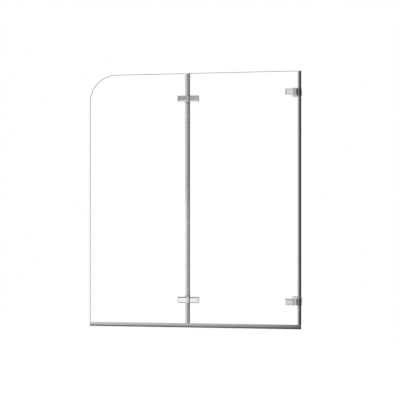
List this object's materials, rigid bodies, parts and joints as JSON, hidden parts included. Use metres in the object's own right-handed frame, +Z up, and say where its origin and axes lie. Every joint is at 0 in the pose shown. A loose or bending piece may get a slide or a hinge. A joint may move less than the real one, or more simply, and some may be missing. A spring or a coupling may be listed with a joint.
{
  "type": "folding bath screen",
  "caption": "Frameless folding bath screen of clear glass: an inner leaf on wall hinges and an outer leaf with a round top corner that folds flat against it, with grey seals.",
  "frame": {"origin": "middle of the lower bracket's wall face, between its two screw holes", "axes": "+X into the wall, square to the closed screen's width; +Z up; -Y towards the side that the fold knuckles stand on"},
  "size_m": [1.2, 0.048, 1.4],
  "materials": {
    "clear_glass": "clear toughened glass with polished edges",
    "polished_chrome": "bright chrome plating",
    "seal_pvc": "grey translucent soft PVC",
    "gasket_silicone": "translucent silicone sheet",
    "white_nylon": "white nylon, turned",
    "stainless_steel": "turned stainless steel",
    "black_steel": "black oxide"
  },
  "bodies": {
    "wall_side": {"upper_wall_bracket": "polished_chrome", "lower_wall_bracket": "polished_chrome", "swing_pins": "stainless_steel", "pin_grub_screws": "black_steel"},
    "inner_leaf": {"inner_glass": "clear_glass", "upper_wall_leaf": "polished_chrome", "lower_wall_leaf": "polished_chrome", "upper_wall_back_plate": "polished_chrome", "lower_wall_back_plate": "polished_chrome", "upper_wall_gaskets": "gasket_silicone", "lower_wall_gaskets": "gasket_silicone", "wall_leaf_screws": "stainless_steel", "wall_leaf_sleeves": "white_nylon", "swing_bushes": "white_nylon", "barrel_caps": "polished_chrome", "wall_seal_top": "seal_pvc", "wall_seal_middle": "seal_pvc", "wall_seal_bottom": "seal_pvc", "upper_fold_inner_leaf": "polished_chrome", "lower_fold_inner_leaf": "polished_chrome", "upper_fold_inner_back_plate": "polished_chrome", "lower_fold_inner_back_plate": "polished_chrome", "upper_fold_inner_gaskets": "gasket_silicone", "lower_fold_inner_gaskets": "gasket_silicone", "fold_inner_screws": "stainless_steel", "fold_inner_sleeves": "white_nylon", "fold_pins": "stainless_steel", "inner_fold_seal_top": "seal_pvc", "inner_fold_seal_middle": "seal_pvc", "inner_fold_seal_bottom": "seal_pvc", "inner_drip_seal": "seal_pvc"},
    "outer_leaf": {"outer_glass": "clear_glass", "upper_fold_outer_leaf": "polished_chrome", "lower_fold_outer_leaf": "polished_chrome", "upper_fold_outer_back_plate": "polished_chrome", "lower_fold_outer_back_plate": "polished_chrome", "upper_fold_outer_gaskets": "gasket_silicone", "lower_fold_outer_gaskets": "gasket_silicone", "fold_outer_screws": "stainless_steel", "fold_outer_sleeves": "white_nylon", "fold_bushes": "white_nylon", "outer_fold_seal_top": "seal_pvc", "outer_fold_seal_middle": "seal_pvc", "outer_fold_seal_bottom": "seal_pvc", "outer_drip_seal": "seal_pvc"}
  },
  "joints": [
    {"name": "wall_swing", "type": "hinge", "parent": "wall_side", "child": "inner_leaf", "pos_m": [-0.0325, 0, 0], "axis": [0, 0, 1], "range_deg": [-90, 90]},
    {"name": "fold", "type": "hinge", "parent": "inner_leaf", "child": "outer_leaf", "pos_m": [-0.6314, -0.011, 0], "axis": [0, 0, 1], "range_deg": [0, 180]}
  ]
}
